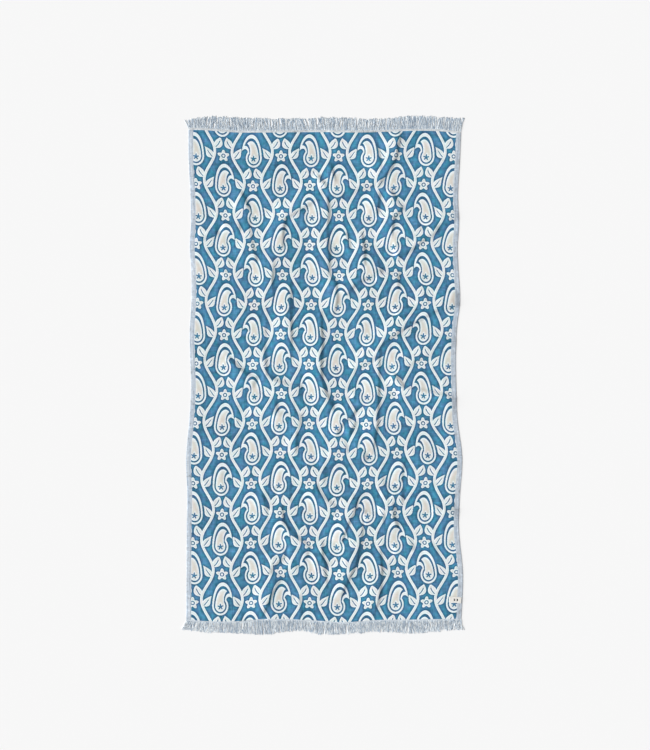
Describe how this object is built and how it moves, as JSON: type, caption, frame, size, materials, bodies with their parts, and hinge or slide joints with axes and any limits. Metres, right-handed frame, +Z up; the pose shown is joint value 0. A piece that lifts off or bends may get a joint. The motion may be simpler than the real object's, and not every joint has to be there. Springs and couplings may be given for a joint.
{
  "type": "turkish towel",
  "caption": "Flat-woven cotton towel laid open on a floor, with soft creases, narrow side hems and a short yarn fringe at each end.",
  "frame": {"origin": "centre of the towel's outline, fringes counted, on the surface that it lies on", "axes": "+X across the towel, +Y along its length towards the end away from the label, +Z up off the surface"},
  "size_m": [0.9746, 1.8122, 0.0089],
  "materials": {
    "towel_cloth": "matte woven cotton, mid blue and cream",
    "fringe_yarn": "matte cotton yarn, pale blue grey",
    "label_tape": "matte woven tape, off white"
  },
  "bodies": {
    "root": {"cloth": "towel_cloth", "fringe_top": "fringe_yarn", "fringe_bottom": "fringe_yarn", "label": "label_tape"}
  },
  "joints": []
}
